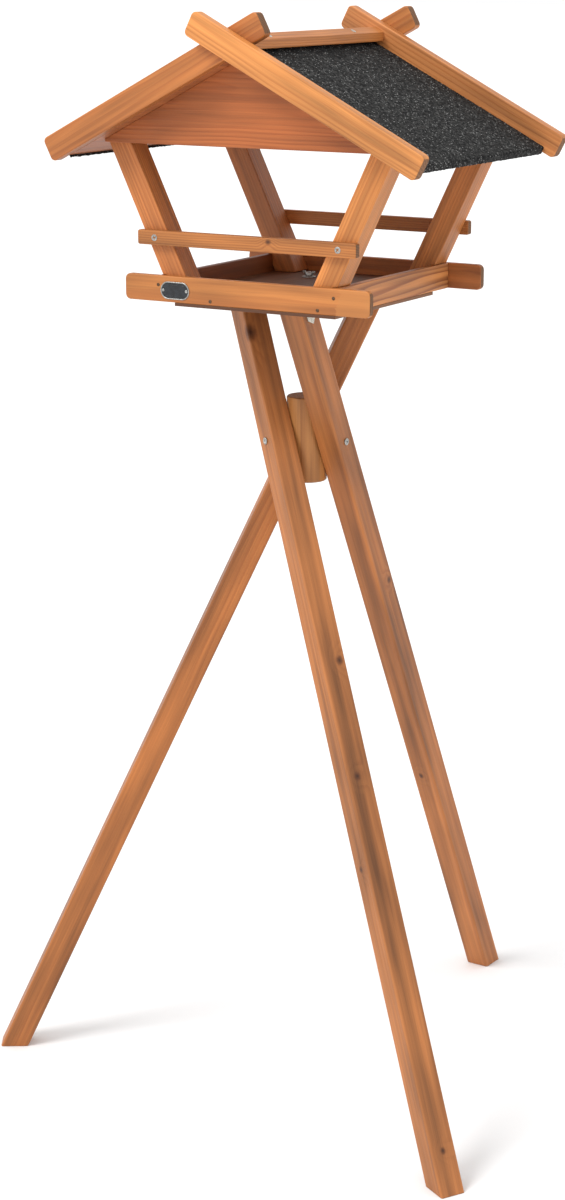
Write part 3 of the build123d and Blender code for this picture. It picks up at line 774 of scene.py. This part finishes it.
def makeFelt(node, side, finish):
    # A thin sheet down the slope and over the eave. Its section is a loop: the outer line from the
    # ridge to the lip, and the same line drawn in by the thickness on the way back. The loop is
    # carried along the ridge, and the outer line gets grit and slow waves along its normals.
    rng = np.random.default_rng(feltShape["seed"] + side)
    right, up = facing(side)
    thick = roofShape["feltThick"]
    eave = deckEave / cos(pitch) + (feltRidge - deckTopRidge) * sin(pitch) + thick
    bend = feltShape["bend"]
    lip = (deckTopRidge - undersideRidge) * cos(pitch) + thick + roofShape["feltLip"]
    top = np.arange(0.0002, eave - bend, feltShape["pace"])
    turn = np.linspace(0, pi / 2, 5)[1:]
    drop = np.linspace(bend, lip, 8)[1:]
    run = np.concatenate([top, eave - bend + bend * np.sin(turn), np.full(len(drop), eave)])
    fall = np.concatenate([np.zeros(len(top)), bend * (1 - np.cos(turn)), drop])
    over = np.stack([np.sin(turn), -np.cos(turn)], 1)
    normal = np.concatenate([np.tile([[0.0, -1.0]], (len(top), 1)), over,
                             np.tile([[1.0, 0.0]], (len(drop), 1))])
    stations = np.linspace(-roofBack, roofFront, int((roofBack + roofFront) / feltShape["pace"]))
    stations = np.sort(np.concatenate([stations, [roofBack - notchStep, roofBack + notchStep]]))
    rows, columns = len(stations), len(run)
    grit = rng.random((rows, columns)) ** 2 * feltShape["grit"]
    wave = feltShape["swell"] * np.sin(stations[:, None] * 21 + side) * np.sin(run[None] * 17 + 1.3)
    ragged = feltShape["ragged"] * (rng.random(rows) - 0.6)
    ragged = np.convolve(ragged, [0.25, 0.5, 0.25], "same")
    stretch = np.where(np.arange(columns) >= len(top) + len(turn), (fall - bend) / (lip - bend), 0.0)
    # beside the other half's barge board the sheet starts further down, and its points close up
    start = np.where(stations > roofBack, notch / cos(pitch), 0.0)[:, None]
    squeeze = np.clip(1 - run / (eave - bend), 0, 1)[None]
    line = np.stack([run[None] + start * squeeze, fall[None] + 0 * start], -1)
    outer = line + normal[None] * (grit + np.clip(wave, -0.0002, 1) - feltShape["grit"])[..., None]
    hem = np.stack([0 * ragged, ragged], 1)[:, None] * stretch[None, :, None]
    outer = outer + hem
    inner = line - normal[None] * thick + hem
    keep = np.concatenate([np.arange(0, len(top), feltShape["everyInner"]), np.arange(len(top), columns)])
    loop = np.concatenate([outer, inner[:, keep[::-1]]], 1)[:, ::-1]
    way = down[0] * right + down[1] * up
    below = inward[0] * right + inward[1] * up
    origin = hubAxis + zAxis * feltRidge
    out = np.cross(right, up)
    points = origin + loop[..., :1] * way + loop[..., 1:] * below + stations[:, None, None] * out
    name = node.replace("_", "-")
    felt = makeMesh(name, points, ringFaces(rows, loop.shape[1]), "house", finish)
    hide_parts(node)


feltFinish = mineralFelt("mineral-felt")
makeFelt("right_roof_felt", 1, feltFinish)
makeFelt("left_roof_felt", -1, feltFinish)
print("roof made")


# Metal pieces.

def plainZinc(name, tint=(186, 186, 182), roughness=0.34):
    # bright plated steel with faint blotches and fine scratches
    s = Shade(name)
    place = s.add("ShaderNodeTexCoord", out="Object")
    blotch = s.noise(place, 420.0, 3.0)
    rub = s.noise(s.vector(place, (1.0, 3.0, 9.0), "MULTIPLY"), 1500.0, 2.0)
    low, high = paint(*(0.80 * np.array(tint))), paint(*tint)
    colour = s.mix(s.span(blotch, 0.35, 0.65), low, high)
    rough = s.sum(s.span(rub, 0.3, 0.7, roughness - 0.08, roughness + 0.12), 1.0, "MULTIPLY")
    return s.surface(Base_Color=colour, Roughness=rough, Metallic=1.0, Normal=s.bump(rub, 0.00003))


zinc = plainZinc("bright-zinc")
paleZinc = plainZinc("pale-zinc", (214, 208, 196), 0.42)
darkSteel = plainZinc("dark-steel", (112, 88, 70), 0.5)


def copies(name, local, faces, places, rights, ups, body, finish):
    # one shape, given in its own x, y and height, set down at several places as one mesh
    places, rights, ups = (np.asarray(v, float).reshape(-1, 1, 3) for v in (places, rights, ups))
    flat = local.reshape(-1, 3)[None]
    world = places + flat[..., :1] * rights + flat[..., 1:2] * ups + flat[..., 2:] * np.cross(rights, ups)
    step = flat.shape[1]
    allFaces = [[i + k * step for i in face] for k in range(len(places)) for face in faces]
    return makeMesh(name, world, allFaces, body, finish)


def turned(radii, heights, around=48):
    # a profile turned round its own axis: rings of the given radius and height, from the bottom up
    angle = np.linspace(0, 2 * pi, around, endpoint=False)
    radii, heights = np.asarray(radii, float)[:, None], np.asarray(heights, float)[:, None]
    ring = np.stack([radii * np.cos(angle), radii * np.sin(angle), heights + 0 * angle], -1)
    return ring


screwShape = {
    "rings": 26,
    "around": 64,
    "slotWidth": 0.00105,
    "slotLength": 0.0048,
    "slotDepth": 0.0013,
    "slotSoft": 0.00018,    # width of the slope at the slot's edge
}


def screwHead(size):
    # Shank, seat, rim and top as rings. The top is a shallow dome, lowered where a point lies in
    # either bar of the cross: the depth times how far it is inside the bar's two half sizes.
    v = screwShape
    headRadius, dome, rim = size["radius"], size["dome"], size["rim"]
    shankRadius, shank = size["shankRadius"], size["shank"]
    topRadii = np.linspace(headRadius, 0.00008, v["rings"])
    radii = np.concatenate([[shankRadius, shankRadius, headRadius - 0.0002, headRadius], topRadii[1:]])
    top = rim + dome * (1 - (topRadii[1:] / headRadius) ** 2)
    heights = np.concatenate([[-shank, 0.0, 0.0, rim * 0.6], top])
    shape = turned(radii, heights, v["around"])
    x, y = np.abs(shape[..., 0]), np.abs(shape[..., 1])

    def inside(a, b):
        short = np.clip((v["slotWidth"] / 2 - a) / v["slotSoft"] + 0.5, 0, 1)
        long = np.clip((v["slotLength"] / 2 - b) / v["slotSoft"] + 0.5, 0, 1)
        return short * long

    cross = np.maximum(inside(x, y), inside(y, x))
    cross[:4] = 0
    shape[..., 2] -= v["slotDepth"] * cross
    return shape, ringFaces(len(radii), v["around"])


hingeScrew = {"radius": 0.0046, "dome": 0.0012, "rim": 0.0010, "shank": 0.0060, "shankRadius": 0.0029}
perchScrew = {"radius": 0.0041, "dome": 0.0004, "rim": 0.0003, "shank": 0.0040, "shankRadius": 0.0018}
nailHead = {"radius": 0.0022, "height": 0.0007, "shank": 0.004, "shankRadius": 0.0010}
ridgeNail = {"radius": 0.0036, "height": 0.0006, "shank": 0.002, "shankRadius": 0.0011, "offset": 0.007}

places, rights, ups = [], [], []
for legName in legNames:
    pivot, outward, up, side, lean = legFrame(legName)
    hubLow, hubHigh = boxOf("hub_block")
    half = np.linalg.norm((pivot - hubAxis)[:2]) - (hubHigh[0] - hubLow[0]) / 2
    places.append(pivot + outward * half)
    rights.append(side * cos(0.5) + up * sin(0.5))
    ups.append(up * cos(0.5) - side * sin(0.5))
shape, faces = screwHead(hingeScrew)
hingeScrews = copies("hub-screws", shape, faces, places, rights, ups, "hub", zinc)
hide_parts("hub_screws")

screwLow, screwHigh = boxOf("perch_screws")
railMiddle = (screwLow[2] + screwHigh[2]) / 2
reach = (screwHigh[0] - screwLow[0]) / 2 - perchScrew["radius"] + 0.0001
places, rights, ups = [], [], []
for side in (1, -1):
    right, up = facing(side)
    face = hubAxis[1] - side * (screwHigh[1] - screwLow[1]) / 2
    for hand, twist in ((-1, 0.3), (1, 0.9)):
        places.append((hubAxis[0] + hand * reach, face, railMiddle))
        rights.append(right * cos(twist) + up * sin(twist))
        ups.append(up * cos(twist) - right * sin(twist))
shape, faces = screwHead(perchScrew)
perchScrews = copies("perch-screws", shape, faces, places, rights, ups, "house", zinc)
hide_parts("perch_screws")


def nailShape(values):
    # a low dome over a short shank
    r, h = values["radius"], values["height"]
    t = np.linspace(0, pi / 2, 7)
    radii = [values["shankRadius"], values["shankRadius"], r * 0.96, *(r * np.cos(t[:-1])), r * 0.05]
    heights = [-values["shank"], 0.0, 0.0, *(h * (0.3 + 0.7 * np.sin(t[:-1]))), h]
    return turned(radii, heights, 28), ringFaces(len(radii), 28)


boardLow = boxOf("front_tray_board")[0]
floorLow, floorHigh = boxOf("floor_panel")
nailHigh = boxOf("tray_nails")[1]
nailSpots = {
    "end": nailHigh[0] - hubAxis[0] - nailHead["radius"],
    "endHeight": nailHigh[2] - nailHead["radius"],
    "floorLeft": -0.049,
    "floorRight": floorHigh[0] - hubAxis[0] - 0.0151,
    "floorHeight": (floorLow[2] + floorHigh[2]) / 2,
}
places, rights, ups = [], [], []
for side in (1, -1):
    right, up = facing(side)
    face = boardLow[1] if side == 1 else 2 * hubAxis[1] - boardLow[1]
    spots = [(-nailSpots["end"], nailSpots["endHeight"]), (nailSpots["end"], nailSpots["endHeight"]),
             (nailSpots["floorLeft"], nailSpots["floorHeight"]),
             (nailSpots["floorRight"], nailSpots["floorHeight"])]
    for x, z in spots:
        places.append((hubAxis[0] + side * x, face, z))
        rights.append(right)
        ups.append(up)
shape, faces = nailShape(nailHead)
trayNails = copies("tray-nails", shape, faces, places, rights, ups, "house", darkSteel)
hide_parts("tray_nails")

ridgeLow, ridgeHigh = boxOf("ridge_nails")
battenSlope = np.arctan2(battenHigh[2] - battenLow[2] - battenSide, (battenHigh[0] - battenLow[0]) / 2)
places, rights, ups = [], [], []
for hand in (-1, 1):
    for y in (ridgeLow[1] + ridgeNail["radius"], ridgeHigh[1] - ridgeNail["radius"]):
        height = battenHigh[2] - ridgeNail["offset"] * tan(battenSlope)
        places.append((hubAxis[0] + hand * ridgeNail["offset"], y, height + 0.0001))
        rights.append((cos(battenSlope), 0, -hand * sin(battenSlope)))
        ups.append((0, 1, 0))
shape, faces = nailShape(ridgeNail)
ridgeNails = copies("ridge-nails", shape, faces, places, rights, ups, "house", paleZinc)
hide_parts("ridge_nails")
for legName in legNames:
    frame["nodes"][legName + "_cleat"].data.materials.clear()
    frame["nodes"][legName + "_cleat"].data.materials.append(paleZinc)
print("screws and nails made")


# Floor bolts, washers and wing nuts.

nutShape = {
    "bore": 0.00305,
    "foot": 0.0050,
    "neck": 0.0042,
    "wingThick": 0.0019,
    "around": 48,
    "pitch": 0.0010,
    "thread": 0.00028,
}


def joinShapes(shapes):
    # several point sets and their faces as one
    points, faces, count = [], [], 0
    for shapePoints, shapeFaces in shapes:
        flat = shapePoints.reshape(-1, 3)
        faces += [[i + count for i in face] for face in shapeFaces]
        points.append(flat)
        count += len(flat)
    return np.concatenate(points), faces


def hollowFaces(rings, around):
    # quads over rings whose last one meets the first again
    faces = ringFaces(rings, around, False, False)
    a = np.arange(around)
    b = (a + 1) % around
    last = (rings - 1) * around
    return faces + np.stack([last + a, last + b, b, a], 1).tolist()


def wingShape(hand, height, reach):
    # A wing is a round-cornered outline carried through its thickness, with eased faces, and it
    # thins towards its tip.
    v = nutShape
    corners = [(v["neck"] - 0.0010, 0.0006), (v["foot"] + 0.0012, 0.0016), (reach, height * 0.62),
               (reach - 0.0004, height), (reach - 0.0040, height), (v["neck"] - 0.0010, height * 0.50)]
    outline, normals = roundCorners(corners, [0.0004, 0.0008, 0.0008, 0.0010, 0.0010, 0.0004], 5)
    turn = np.linspace(0, pi / 2, 4)
    inset = 0.0005 * (1 - np.sin(turn))
    rise = 0.0005 * (1 - np.cos(turn))
    inset = np.concatenate([inset, inset[::-1]])
    rise = np.concatenate([rise, v["wingThick"] - rise[::-1]]) - v["wingThick"] / 2
    flat = outline[None] - normals[None] * inset[:, None, None]
    thin = 1 - 0.35 * np.clip(flat[..., 0] / reach, 0, 1)
    points = np.stack([hand * flat[..., 0], -hand * rise[:, None] * thin, flat[..., 1]], -1)
    return points, ringFaces(len(rise), len(outline))


def makeWingNut(node):
    low, high = boxOf(node)
    joint = jointOf[node + "_spin"]
    height, reach = high[2] - low[2], (high[0] - low[0]) / 2
    v = nutShape
    base = np.array([joint["pos_m"][0], joint["pos_m"][1], low[2]])
    wall = height * 0.69
    bore, foot, neck = v["bore"], v["foot"], v["neck"]
    radii = [bore, foot - 0.0004, foot, foot - 0.0001, neck + 0.0002, neck - 0.0002, bore + 0.0004, bore]
    heights = [0, 0, 0.0004, 0.0014, wall - 0.0012, wall - 0.0002, wall, wall - 0.0004]
    body = turned(radii, heights, v["around"]), hollowFaces(len(radii), v["around"])
    points, faces = joinShapes([body, wingShape(1, height, reach), wingShape(-1, height, reach)])
    nut = copies(node.replace("_", "-"), points, faces, [base], [xAxis], [yAxis], node + "_body", zinc)
    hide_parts(node)


nutNames = ("back_wing_nut", "front_wing_nut", "right_wing_nut")
for node in nutNames:
    makeWingNut(node)
boltLow, boltHigh = boxOf("floor_bolts")
washerLow, washerHigh = boxOf("floor_washers")
boltSpots = [np.array(jointOf[node + "_spin"]["pos_m"]) * (1, 1, 0) for node in nutNames]

# a bolt: a domed head under the plate and a shank whose radius zigzags once for each turn of thread
plateLow = boxOf("base_plate")[0]
threadHeights = np.arange(plateLow[2] + 0.006, boltHigh[2] - 0.0006, nutShape["pitch"] / 2)
threadRadii = 0.0029 - nutShape["thread"] * (np.arange(len(threadHeights)) % 2)
headRadii = [0.0004, 0.0035, 0.0058, 0.0068, 0.0070, 0.0029]
headHeights = [boltLow[2], boltLow[2] + 0.0003, boltLow[2] + 0.0012, plateLow[2] - 0.0006, plateLow[2],
               plateLow[2]]
radii = np.concatenate([headRadii, threadRadii, [0.0022, 0.0004]])
heights = np.concatenate([headHeights, threadHeights, [boltHigh[2], boltHigh[2]]])
bolts = copies("floor-bolts", turned(radii, heights, 36), ringFaces(len(radii), 36), boltSpots,
               [xAxis] * 3, [yAxis] * 3,
               "house", zinc)
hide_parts("floor_bolts")

inner, outer, ease = 0.0031, 0.0090, 0.0003
radii = [inner, outer - ease, outer, outer, outer - ease, inner]
heights = [washerLow[2], washerLow[2], washerLow[2] + ease, washerHigh[2] - ease, washerHigh[2],
           washerHigh[2]]
washers = copies("floor-washers", turned(radii, heights, 56), hollowFaces(len(radii), 56), boltSpots,
                 [xAxis] * 3,
                 [yAxis] * 3, "house", zinc)
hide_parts("floor_washers")
print("wing nuts made")


# Badge.

badgeShape = {
    "rim": 0.0015,
    "rimRise": 0.0004,
    "pinRadius": 0.0019,
    "pinSpacing": 0.0338,
    "bead": 0.0042,         # from the edge to the raised line
}


def slateEnamel(name):
    s = Shade(name)
    place = s.add("ShaderNodeTexCoord", out="Object")
    cloud = s.span(s.noise(place, 160.0, 3.0), 0.35, 0.7)
    colour = s.mix(cloud, paint(16, 18, 22), paint(34, 38, 44))
    rough = s.span(s.noise(place, 700.0), 0.3, 0.7, 0.22, 0.36)
    return s.surface(Base_Color=colour, Roughness=rough, Metallic=0.35, Coat_Weight=0.35,
                     Normal=s.bump(cloud, 0.00003))


def makeBadge(values):
    # A round-ended plate as rings of its outline, each drawn in by so much and raised by so much:
    # the wall, the rolled rim, the sunk field and one raised line inside it.
    low, high = boxOf("badge_plate")
    size = high - low
    middle = np.array([(low[0] + high[0]) / 2, high[1], (low[2] + high[2]) / 2])
    outline, normals = roundCorners(rectangle(size[0], size[2]), size[2] / 2 - 0.0001, 16)
    right, up = facing(1)
    thick, rim = size[1], values["rim"]

    def rings(inset, rise):
        flat = outline[None] - normals[None] * np.asarray(inset)[:, None, None]
        return middle + flat[..., :1] * right + flat[..., 1:] * up - np.asarray(rise)[:, None, None] * yAxis

    turn = np.linspace(0, pi, 9)
    rimInset = np.concatenate([[0.0], rim / 2 * (1 - np.cos(turn)), [rim]])
    rimRise = np.concatenate([[0.0], thick - 0.0006 + 0.0006 * np.sin(turn), [0.0002]])
    rimPoints = rings(rimInset, rimRise)
    rimPiece = makeMesh("badge-rim", rimPoints, hollowFaces(len(rimInset), len(outline)), "house", zinc)
    line = values["bead"]
    fieldInset = [rim - 0.0002, rim - 0.0002, line - 0.0003, line, line + 0.0003, line + 0.0006]
    fieldRise = [0.0001, thick - 0.0005, thick - 0.0005, thick - 0.00025, thick - 0.0005, thick - 0.0005]
    field = makeMesh("badge-field", rings(fieldInset, fieldRise),
                     ringFaces(len(fieldInset), len(outline)), "house",
                     slateEnamel("slate-enamel"), smooth=False)
    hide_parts("badge_plate")
    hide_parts("badge_plate")
    half = values["pinSpacing"] / 2
    shape, faces = nailShape({"radius": values["pinRadius"], "height": 0.0009, "shank": 0.0015,
                              "shankRadius": 0.001})
    spots = [middle + hand * half * xAxis - (thick - 0.0005) * yAxis for hand in (-1, 1)]
    pins = copies("badge-pins", shape, faces, spots, [right] * 2, [up] * 2, "house", zinc)
    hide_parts("badge_pins")


makeBadge(badgeShape)
print("badge made")
